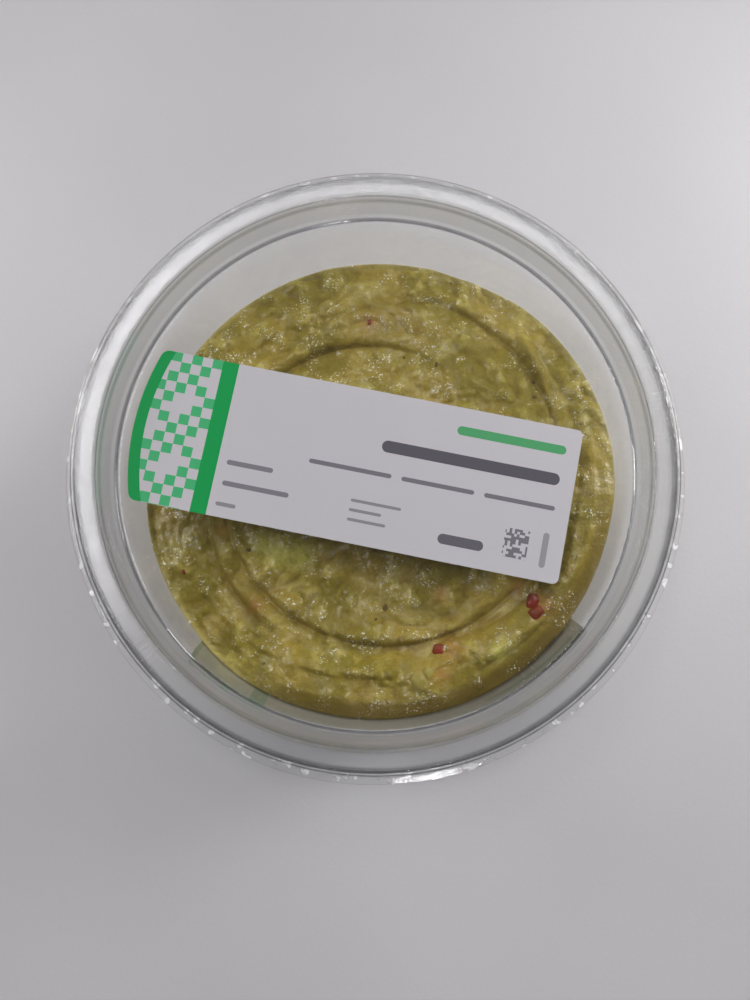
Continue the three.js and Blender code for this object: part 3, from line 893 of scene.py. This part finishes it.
def one_bit(scene_bits, degrees, radius, size, flat, narrow, sink, seed, boxy):
    """Adds one bit to a bmesh: a ball pushed towards a box, roughened, squashed and half sunk."""
    made = bmesh.ops.create_icosphere(scene_bits, subdivisions=3, radius=1.0)
    x = radius * math.cos(math.radians(degrees))
    y = radius * math.sin(math.radians(degrees))
    z = float(dip_height(radius, degrees)) + mash_relief(x, y, radius, degrees) - sink
    turn = seed * 2.4
    for vertex in made["verts"]:
        p = vertex.co.normalized()
        largest = max(abs(p.x), abs(p.y), abs(p.z))
        p = p.lerp(p / largest * 0.82, boxy)
        p *= 1 + 0.22 * noise.noise(p * 1.7 + Vector((seed * 3.1, 0, 0)))
        p = Vector((p.x * size / 2, p.y * size / 2 * narrow, p.z * size / 2 * flat))
        turned_x = p.x * math.cos(turn) - p.y * math.sin(turn)
        turned_y = p.x * math.sin(turn) + p.y * math.cos(turn)
        vertex.co = Vector((x + turned_x, y + turned_y, z + p.z)) * MM


def bits_piece(name, places, flat, narrow, sink, boxy, material):
    scene_bits = bmesh.new()
    for order, (degrees, radius, size) in enumerate(places):
        one_bit(scene_bits, degrees, radius, size, flat, narrow, sink * size, order + len(name), boxy)
    mesh = bpy.data.meshes.new(name)
    scene_bits.to_mesh(mesh)
    scene_bits.free()
    mesh.shade_smooth()
    piece = bpy.data.objects.new(name, mesh)
    bpy.context.collection.objects.link(piece)
    piece.data.materials.append(material)
    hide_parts("guacamole")
    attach(piece, "root")
    print(name, len(places), "bits,", len(mesh.polygons), "triangles")
    return piece


def wet_bit(name, first, second, sink_in, speckle_scale, wetness):
    material, tree, skin, output = new_material(name)
    place = add(tree, "TexCoord", {}).outputs["Object"]
    pattern = noise_pattern(tree, place, speckle_scale, 4.0, 0.6)
    put(tree, skin, {
        "Base Color": colour_mix(tree, soft_step(tree, pattern, 0.35, 0.65), first, second),
        "Roughness": maths(tree, "MULTIPLY_ADD", pattern, 0.25, 0.3),
        "Normal": bump(tree, noise_pattern(tree, place, 1300.0, 3.0), 0.0003, 0.5),
    })
    skin.inputs["Coat Weight"].default_value = wetness
    skin.inputs["Coat Roughness"].default_value = 0.12
    skin.inputs["Subsurface Weight"].default_value = sink_in
    skin.inputs["Subsurface Radius"].default_value = (0.002, 0.0008, 0.0004)
    skin.inputs["Subsurface Scale"].default_value = 1.0
    return material


# each kind has two colours that its speckles mix
TOMATO_RED = ((0.25, 0.022, 0.008, 1.0), (0.18, 0.045, 0.012, 1.0))
AVOCADO_PALE = ((0.40, 0.33, 0.08, 1.0), (0.31, 0.25, 0.05, 1.0))
HERB_DARK = ((0.09, 0.055, 0.012, 1.0), (0.15, 0.11, 0.03, 1.0))
tomato_flesh = wet_bit("tomato_flesh", *TOMATO_RED, 0.1, 500.0, 0.1)
avocado_flesh = wet_bit("avocado_flesh", *AVOCADO_PALE, 0.15, 350.0, 0.3)
herb_leaf = wet_bit("herb_leaf", *HERB_DARK, 0.0, 900.0, 0.0)
for flesh in (tomato_flesh, avocado_flesh, herb_leaf):
    flesh.node_tree.nodes["Principled BSDF"].inputs["Specular IOR Level"].default_value = 0.12

# each bit: angle, radius, size in millimetres
TOMATO = ((-39.9, 41.6, 3.9), (-41.6, 43.3, 3.5), (-70.4, 38.6, 3.6), (-153, 45.0, 1.2), (92, 34.5, 1.4))
AVOCADO = ((-78.4, 43.2, 4.2), (-75.5, 42.2, 2.6), (106, 39.4, 4.6), (74, 45.6, 2.4), (-90, 37.0, 1.6))
HERB = ((61.5, 27.8, 1.3), (31.0, 40.0, 1.9), (26.5, 38.4, 1.3), (76.5, 27.0, 0.9), (-86, 28.0, 1.6),
        (-90, 30.2, 0.9), (-149, 31.0, 1.3), (69, 47.5, 0.9), (140, 38, 0.8), (-120, 45, 0.8), (14, 45, 0.8))
bits_piece("tomato_dice", TOMATO, 0.60, 0.75, 0.08, 0.30, tomato_flesh)
bits_piece("avocado_chunks", AVOCADO, 0.50, 0.8, 0.12, 0.12, avocado_flesh)
bits_piece("herb_flakes", HERB, 0.30, 0.6, 0.02, 0.0, herb_leaf)

# %% [markdown]
# ## Label stock
# Both labels have four small rounded corners. The lid's label ends in an arc at the left, the wall's label
# is nearly straight there. The print is plain: a green border along that end, a green check, a green band,
# and soft bars where words would stand. It is all drawn by nodes from the label's own coordinates in
# millimetres, so it stays sharp at any size.

# %% Print on paper
LABEL_LEFT = -48.5
LABEL_RIGHT = 39.0
LABEL_END_RADIUS = 48.5
LABEL_CORNER = 1.2
LABEL_PAPER = 0.2
LABEL_SPAN = 100.0
BORDER_WIDTH = 2.3
WALL_LABEL_END_RADIUS = 200.0
WALL_LABEL_BORDER = 1.0
CHECK_CELL = 2.06
CHECK_TOP = 15.6
CHECK_REPEAT = 6.0
CHECK_END = -33.85
BAND_END = -30.6
PRINT_GREEN = (0.001, 0.34, 0.075, 1.0)
CHECK_GREEN = (0.06, 0.46, 0.18, 1.0)
PAPER_WHITE = (0.59, 0.57, 0.60, 1.0)
# the back of the paper, and what the front's inks look like through it
BACK_GREY = (0.37, 0.365, 0.335, 1.0)
BACK_GREEN = (0.01, 0.16, 0.09, 1.0)
BACK_CHECK = (0.33, 0.37, 0.31, 1.0)
INK = (0.06, 0.055, 0.075, 1.0)
# bars in place of words: left, right, low, high, how dark, green or not
BARS = (
    (14.5, 36.3, 9.9, 11.7, 0.85, True),
    (0.5, 36.0, 3.6, 6.0, 0.9, False),
    (-13.0, 3.5, -1.4, -0.5, 0.75, False),
    (5.5, 20.0, -1.4, -0.5, 0.75, False),
    (22.0, 36.0, -1.4, -0.5, 0.75, False),
    (-28.8, -19.5, -4.9, -3.9, 0.7, False),
    (-28.8, -15.5, -9.1, -8.1, 0.7, False),
    (-3.4, 6.6, -7.3, -6.7, 0.6, False),
    (-3.4, 3.0, -9.2, -8.6, 0.6, False),
    (-3.4, 4.2, -11.1, -10.5, 0.6, False),
    (14.6, 23.6, -12.0, -10.0, 0.85, False),
    (-29.2, -25.2, -13.2, -12.4, 0.6, False),
)
# left, right, low and high of the code's square, and of the bar that stands upright
CODE_SQUARE = (27.3, 32.1, -12.0, -6.3)
CODE_CELL = 0.52
CODE_BLANK_SHARE = 0.45
UPRIGHT_BAR = (-12.8, -5.9, 34.7, 35.9)
CODE_DARKNESS = 0.75
UPRIGHT_DARKNESS = 0.5
BACK_SHOW = 0.47


def between(tree, value, low, high):
    above = maths(tree, "GREATER_THAN", value, low)
    below = maths(tree, "LESS_THAN", value, high)
    return maths(tree, "MULTIPLY", above, below)


def bar_mask(tree, along, across, left, right, low, high):
    """1 inside a bar with round ends."""
    half = (high - low) / 2
    from_middle = maths(tree, "ABSOLUTE", maths(tree, "SUBTRACT", along, (left + right) / 2))
    over = maths(tree, "MAXIMUM", maths(tree, "SUBTRACT", from_middle, (right - left) / 2 - half), 0.0)
    up = maths(tree, "SUBTRACT", across, (low + high) / 2)
    away = maths(tree, "SQRT", maths(tree, "ADD", times(tree, over, over), times(tree, up, up)))
    return maths(tree, "LESS_THAN", away, half)


def cell_number(tree, first, second, size):
    """Which cell of that size a place lies in, counted from first down to second."""
    return maths(tree, "FLOOR", maths(tree, "DIVIDE", maths(tree, "SUBTRACT", first, second), size))


def check_mask(tree, along, across):
    """A check: every second cell is green, and gaps on slanting lines leave white diamonds."""
    column = cell_number(tree, CHECK_END, along, CHECK_CELL)
    row = cell_number(tree, CHECK_TOP, across, CHECK_CELL)
    odd = maths(tree, "FLOORED_MODULO", maths(tree, "ADD", column, row), 2.0)
    slant = maths(tree, "FLOORED_MODULO", maths(tree, "SUBTRACT", column, row), CHECK_REPEAT)
    third = maths(tree, "FLOORED_MODULO", column, CHECK_REPEAT / 2)
    on_slant = maths(tree, "COMPARE", slant, 4.0, 0.5)
    gap = maths(tree, "SUBTRACT", on_slant, maths(tree, "COMPARE", third, 1.0, 0.5))
    cells = times(tree, maths(tree, "LESS_THAN", odd, 0.5), maths(tree, "LESS_THAN", gap, 0.5))
    return times(tree, cells, maths(tree, "LESS_THAN", along, CHECK_END))


def code_mask(tree, along, across):
    """A small square of random ink cells, in the place of a printed code."""
    left, right, low, high = CODE_SQUARE
    cells = add(tree, "CombineXYZ", {0: along, 1: across}).outputs[0]
    cells = add(tree, "VectorMath", {0: cells, 3: 1 / CODE_CELL}, operation="SCALE").outputs[0]
    cells = add(tree, "VectorMath", {0: cells}, operation="FLOOR").outputs[0]
    chance = add(tree, "TexWhiteNoise", {"Vector": cells}).outputs["Value"]
    inked = maths(tree, "GREATER_THAN", chance, CODE_BLANK_SHARE)
    inside = times(tree, between(tree, along, left, right), between(tree, across, low, high))
    return times(tree, inked, inside)


def label_print(tree, paper, green, check_green, end_radius, border_width):
    """The colour of the printed side, from the sheet's own map in millimetres."""
    flat = add(tree, "SeparateXYZ", {0: add(tree, "UVMap", {}, uv_map="flat").outputs[0]})
    along = maths(tree, "MULTIPLY_ADD", flat.outputs["X"], LABEL_SPAN, -LABEL_SPAN / 2)
    across = maths(tree, "MULTIPLY_ADD", flat.outputs["Y"], LABEL_SPAN, -LABEL_SPAN / 2)
    from_arc = maths(tree, "SUBTRACT", along, LABEL_LEFT + end_radius)
    from_centre = add(tree, "CombineXYZ", {0: from_arc, 1: across})
    out = add(tree, "VectorMath", {0: from_centre.outputs[0]}, operation="LENGTH").outputs["Value"]
    near_edge = maths(tree, "GREATER_THAN", out, end_radius - border_width)
    border = times(tree, near_edge, maths(tree, "LESS_THAN", along, CHECK_END))
    band = between(tree, along, CHECK_END, BAND_END)
    colour = colour_mix(tree, check_mask(tree, along, across), paper, check_green)
    colour = colour_mix(tree, maths(tree, "MAXIMUM", border, band), colour, green)
    colour = colour_mix(tree, times(tree, code_mask(tree, along, across), CODE_DARKNESS), colour, INK)
    upright = bar_mask(tree, across, along, *UPRIGHT_BAR)
    colour = colour_mix(tree, times(tree, upright, UPRIGHT_DARKNESS), colour, INK)
    for left, right, low, high, dark, is_green in BARS:
        mask = times(tree, bar_mask(tree, along, across, left, right, low, high), dark)
        colour = colour_mix(tree, mask, colour, green if is_green else INK)
    return colour


def paper_finish(name, paper, show, *inks):
    """Coated label paper. Show is how strongly the print comes through on this side."""
    material, tree, skin, output = new_material(name)
    place = add(tree, "TexCoord", {}).outputs["Object"]
    fibres = noise_pattern(tree, place, 1500.0, 6.0, 0.7)
    cloud = noise_pattern(tree, place, 60.0, 3.0)
    tone = maths(tree, "MULTIPLY_ADD", maths(tree, "ADD", fibres, cloud), 0.04, 0.94)
    printed = label_print(tree, paper, *inks)
    colour = colour_mix(tree, show, paper, printed)
    shaded = tree.nodes.new("ShaderNodeMix")
    shaded.data_type = "RGBA"
    shaded.blend_type = "MULTIPLY"
    grey = add(tree, "CombineColor", {"Red": tone, "Green": tone, "Blue": tone}).outputs[0]
    put(tree, shaded, {0: 1.0, 6: colour, 7: grey})
    put(tree, skin, {
        "Base Color": shaded.outputs[2],
        "Roughness": maths(tree, "MULTIPLY_ADD", fibres, 0.15, 0.38),
        "Normal": bump(tree, fibres, 0.00006, 0.4),
    })
    skin.inputs["Specular IOR Level"].default_value = 0.12
    print("material", name)
    return material


lid_cut = (LABEL_END_RADIUS, BORDER_WIDTH)
wall_cut = (WALL_LABEL_END_RADIUS, WALL_LABEL_BORDER)
lid_papers = (
    paper_finish("lid_label_face", PAPER_WHITE, 1.0, PRINT_GREEN, CHECK_GREEN, *lid_cut),
    paper_finish("lid_label_back", BACK_GREY, BACK_SHOW, BACK_GREEN, BACK_CHECK, *lid_cut),
)
wall_papers = (
    paper_finish("wall_label_face", PAPER_WHITE, 1.0, PRINT_GREEN, CHECK_GREEN, *wall_cut),
    paper_finish("wall_label_back", BACK_GREY, BACK_SHOW, BACK_GREEN, BACK_CHECK, *wall_cut),
)

# %% [markdown]
# ## Laying the labels
# A label is a thin sheet: a face skin and a back skin, joined round the edge. One builder makes both. It
# takes a rule that says where a spot of the flat cut goes: onto the lid's panel, turned a little, or round
# the cone of the wall. The flat spot is kept as the UV map, which is what the print reads.

# %% Label builder
SHEET_COLUMNS = 120


def label_rows(height):
    """Heights across the label, close together in the rounded corners."""
    half = height / 2
    corner = [half - LABEL_CORNER * (1 - math.sin(math.radians(step * 15))) for step in range(7)]
    plain = np.linspace(-(half - LABEL_CORNER), half - LABEL_CORNER, 15)
    return [-v for v in reversed(corner)] + list(plain[1:-1]) + corner


def label_sheet(name, height, end_radius, papers, place):
    """The printed cut laid by a rule place(along, across, off the surface), as one thin sheet."""
    rows = label_rows(height)
    half = height / 2
    points = []
    flats = []
    for off in (0.0, LABEL_PAPER):
        for v in rows:
            into = max(0.0, abs(v) - (half - LABEL_CORNER))
            corner = LABEL_CORNER - math.sqrt(max(0.0, LABEL_CORNER ** 2 - into ** 2))
            start = corner + LABEL_LEFT + end_radius - math.sqrt(end_radius ** 2 - v * v)
            stop = LABEL_RIGHT - corner
            for column in range(SHEET_COLUMNS + 1):
                u = start + (stop - start) * column / SHEET_COLUMNS
                points.append(place(u, v, off))
                flats.append((u, v))
    skin = len(rows) * (SHEET_COLUMNS + 1)

    def at(side, row, column):
        return side * skin + row * (SHEET_COLUMNS + 1) + column

    faces = []
    for row in range(len(rows) - 1):
        for c in range(SHEET_COLUMNS):
            faces.append((at(1, row, c), at(1, row, c + 1), at(1, row + 1, c + 1), at(1, row + 1, c)))
    face_count = len(faces)
    for row in range(len(rows) - 1):
        for c in range(SHEET_COLUMNS):
            faces.append((at(0, row, c), at(0, row + 1, c), at(0, row + 1, c + 1), at(0, row, c + 1)))
    back_count = len(faces)
    top = len(rows) - 1
    end = SHEET_COLUMNS
    for row in range(top):
        faces.append((at(0, row, 0), at(1, row, 0), at(1, row + 1, 0), at(0, row + 1, 0)))
        faces.append((at(0, row, end), at(0, row + 1, end), at(1, row + 1, end), at(1, row, end)))
    for c in range(SHEET_COLUMNS):
        faces.append((at(0, 0, c), at(0, 0, c + 1), at(1, 0, c + 1), at(1, 0, c)))
        faces.append((at(0, top, c), at(1, top, c), at(1, top, c + 1), at(0, top, c + 1)))
    piece = mesh_piece(name, points, faces, sharp_above=40)
    layer = piece.data.uv_layers.new(name="flat")
    for loop in piece.data.loops:
        u, v = flats[loop.vertex_index]
        layer.data[loop.index].uv = (u / LABEL_SPAN + 0.5, v / LABEL_SPAN + 0.5)
    for material in papers:
        piece.data.materials.append(material)
    for polygon in piece.data.polygons:
        polygon.material_index = 1 if face_count <= polygon.index < back_count else 0
    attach(piece, "root")
    return piece


# %% [markdown]
# ## Two places for one label
# On the lid the label is turned by 11 degrees and lies a hair above the panel. On the wall it has to follow
# a cone: rolled out flat, a cone is a fan, so a flat spot becomes a distance from the fan's tip and a swing
# round it, and those two give its place on the wall.

# %% Lid label and wall label
LID_LABEL_HEIGHT = 30.8
LID_LABEL_TURN = -11.3
LID_LABEL_SHIFT = -0.6
LID_LABEL_GAP = 0.1
WALL_LABEL_HEIGHT = 29.0
WALL_LABEL_GAP = 0.3
WALL_LABEL_ANGLE = -86.3
WALL_LABEL_MIDDLE = 19.6


def on_lid(u, v, off):
    turn = math.radians(LID_LABEL_TURN)
    across = v + LID_LABEL_SHIFT
    x = u * math.cos(turn) - across * math.sin(turn)
    y = u * math.sin(turn) + across * math.cos(turn)
    return x, y, PANEL_HEIGHT + LID_LABEL_GAP + off


def on_wall(u, v, off):
    slope = math.atan(TUB_DRAFT)
    reach_to_tip = (wall_radius(WALL_LABEL_MIDDLE) + TUB_SHEET + WALL_LABEL_GAP + off) / math.sin(slope)
    from_middle = u - (LABEL_LEFT + LABEL_RIGHT) / 2
    distance = math.hypot(from_middle, reach_to_tip + v)
    angle = math.radians(WALL_LABEL_ANGLE) + math.atan2(from_middle, reach_to_tip + v) / math.sin(slope)
    radius = distance * math.sin(slope)
    height = WALL_LABEL_MIDDLE + (distance - reach_to_tip) * math.cos(slope)
    return radius * math.cos(angle), radius * math.sin(angle), height


lid_label_sheet = label_sheet("lid_label_sheet", LID_LABEL_HEIGHT, LABEL_END_RADIUS, lid_papers, on_lid)
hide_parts("lid_label")
wall_size = (WALL_LABEL_HEIGHT, WALL_LABEL_END_RADIUS)
wall_label_sheet = label_sheet("wall_label_sheet", *wall_size, wall_papers, on_wall)
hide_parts("wall_label")

# %% [markdown]
# ## Table and lamps
# A pale floor carries the tub. Two soft lamps, one overhead and one behind on the right, light it evenly.
# They are hidden from mirrors, because the flat lid would show them as white patches. Three glint lamps do
# the opposite: only shiny things see them, and they make the glints on the wet paste and the rim. Two small
# lamps low at the sides brighten the table beside the tub. The camera sees none of the lamps.

# %% Floor
TABLE_GREY = ((0.60, 0.59, 0.605, 1.0), (0.64, 0.63, 0.645, 1.0))
TABLE_SIZE = 4.0
TABLE_HEIGHT = -0.0002


def floor_finish():
    material, tree, skin, output = new_material("pale_table")
    place = add(tree, "TexCoord", {}).outputs["Object"]
    cloud = noise_pattern(tree, place, 9.0, 2.0)
    put(tree, skin, {
        "Base Color": colour_mix(tree, soft_step(tree, cloud, 0.3, 0.7), *TABLE_GREY),
        "Roughness": 0.6,
        "Normal": bump(tree, noise_pattern(tree, place, 900.0, 1.0), 0.0001, 0.3),
    })
    skin.inputs["Specular IOR Level"].default_value = 0.1
    return material


bpy.ops.mesh.primitive_plane_add(size=TABLE_SIZE, location=(0, 0, TABLE_HEIGHT))
floor = bpy.context.object
floor.name = "table_top"
floor.data.materials.append(floor_finish())


# %% Lamps
AIM = Vector((0, 0, 0.03))


def lamp(name, place, size, power):
    """A round lamp aimed at the tub, in metres and watts, that the camera itself does not see."""
    light = bpy.data.lights.new(name, "AREA")
    light.shape = "DISK"
    light.size = size
    light.energy = power
    made = bpy.data.objects.new(name, light)
    made.location = place
    made.visible_camera = False
    made.rotation_euler = (AIM - Vector(place)).to_track_quat("-Z", "Y").to_euler()
    bpy.context.collection.objects.link(made)
    return made


SOFT_SIZE = 0.20
SOFT_LAMPS = (((-0.05, -0.05, 0.60), 0.14), ((0.45, 0.22, 0.42), 0.26))
GLINT_SIZE = 0.09
GLINT_POWER = 1.6
GLINT_PLACES = ((-0.50, 0.12, 0.45), (0.35, 0.45, 0.45), (0.10, -0.48, 0.42))
SIDE_SIZE = 0.08
for number, (soft_place, soft_power) in enumerate(SOFT_LAMPS):
    soft = lamp("soft_lamp_" + str(number + 1), soft_place, SOFT_SIZE, soft_power)
    soft.visible_glossy = False
    soft.visible_transmission = False
for number, glint_place in enumerate(GLINT_PLACES):
    glint = lamp("glint_lamp_" + str(number + 1), glint_place, GLINT_SIZE, GLINT_POWER)
    glint.visible_diffuse = False
    glint.visible_transmission = False
lamp("right_side_lamp", (0.24, 0.09, 0.15), SIDE_SIZE, 0.34)
lamp("left_side_lamp", (-0.24, 0.09, 0.15), SIDE_SIZE, 0.17)

# %% [markdown]
# ## Sky
# The flat rim shines silvery at the left and back, as if a bright window or a strip lamp were mirrored in
# it. So the sky holds a round strip of light: a part of a ring, strong at the left and weaker at the back.
# It is drawn as if on a ceiling, and its ring has the size that the flat rim needs to mirror it. The rest
# of the sky is a plain soft grey, brighter behind the tub and to the right, as the photo's table is.

# %% Strip of light and sky
# height of the ceiling above the rim, how far back the ring's middle is, and its edges, in millimetres
STRIP_HEIGHT = 145.0
STRIP_MIDDLE = 25.8
STRIP_INSIDE = (51.0, 52.6)
STRIP_OUTSIDE = (70.0, 64.0)
STRIP_LEFT_SIDE = (-0.966, 0.259, 0.0)
STRIP_LEFT_STRENGTH = 17.0
STRIP_BACK_STRENGTH = 9.0
STRIP_LOWEST = 0.3
# strength of the plain sky, and what it gains towards the back, the right and the horizon
SKY = 0.09
SKY_BACK = 0.15
SKY_RIGHT = 0.07
SKY_LOW = 0.085
SKY_COLOUR = (0.985, 0.97, 1.0, 1.0)


def vector_maths(tree, operation, first, others=None):
    return add(tree, "VectorMath", {0: first, **(others or {})}, operation=operation)


def light_strip(tree, direction, height):
    """Strength of the strip in a direction: strong at the left, weaker at the back, none in front."""
    stretch = maths(tree, "DIVIDE", STRIP_HEIGHT, height)
    up_there = vector_maths(tree, "SCALE", direction, {3: stretch}).outputs[0]
    flat = vector_maths(tree, "MULTIPLY", up_there, {1: (1.0, 1.0, 0.0)}).outputs[0]
    off = vector_maths(tree, "SUBTRACT", flat, {1: (0.0, STRIP_MIDDLE, 0.0)}).outputs[0]
    reach_out = vector_maths(tree, "LENGTH", off).outputs["Value"]
    facing = vector_maths(tree, "NORMALIZE", off).outputs[0]
    to_left = vector_maths(tree, "DOT_PRODUCT", facing, {1: STRIP_LEFT_SIDE}).outputs["Value"]
    to_back = add(tree, "SeparateXYZ", {0: facing}).outputs["Y"]
    outside = soft_step(tree, reach_out, *STRIP_INSIDE)
    inside = soft_step(tree, reach_out, *STRIP_OUTSIDE)
    strip = times(tree, outside, inside, maths(tree, "GREATER_THAN", height, STRIP_LOWEST))
    left = times(tree, soft_step(tree, to_left, 0.65, 0.82), STRIP_LEFT_STRENGTH)
    back = times(tree, soft_step(tree, to_back, 0.1, 0.7), STRIP_BACK_STRENGTH)
    return times(tree, strip, maths(tree, "MAXIMUM", left, back))


def studio_sky():
    """A soft grey surround, brighter behind the tub and low down all round, as a lit room is."""
    world = bpy.data.worlds.new("studio_sky")
    world.use_nodes = True
    tree = world.node_tree
    direction = add(tree, "TexCoord", {}).outputs["Generated"]
    parts = add(tree, "SeparateXYZ", {0: direction}).outputs
    behind = maths(tree, "MULTIPLY_ADD", parts["Y"], SKY_BACK, SKY)
    rightward = maths(tree, "MULTIPLY_ADD", parts["X"], SKY_RIGHT, behind)
    low_down = times(tree, soft_step(tree, parts["Z"], 0.7, 0.0), SKY_LOW)
    room = maths(tree, "ADD", rightward, low_down)
    surround = tree.nodes["Background"]
    surround.inputs["Color"].default_value = SKY_COLOUR
    strength = maths(tree, "ADD", room, light_strip(tree, direction, parts["Z"]))
    tree.links.new(strength, surround.inputs["Strength"])
    return world


bpy.context.scene.world = studio_sky()
bpy.context.scene.view_settings.view_transform = "Standard"

# %% [markdown]
# ## Camera
# The picture was taken from just above with a phone's wide lens, tilted by 7 degrees. The lens and place
# were worked out from the rims: seen from here, each ring of the lid is an ellipse of the right size and
# place.

# %% Camera
CAMERA_PLACE = (-0.09, -25.78, 188.73)
CAMERA_TILT = 7.14
LENS = 28.08
SENSOR_WIDTH = 36.0
camera_data = bpy.data.cameras.new("camera")
camera_data.sensor_width = SENSOR_WIDTH
camera_data.lens = LENS
camera_data.clip_start = 0.005
camera = bpy.data.objects.new("camera", camera_data)
camera.location = Vector(CAMERA_PLACE) * MM
camera.rotation_euler = (math.radians(CAMERA_TILT), 0.0, 0.0)
bpy.context.collection.objects.link(camera)
bpy.context.scene.camera = camera
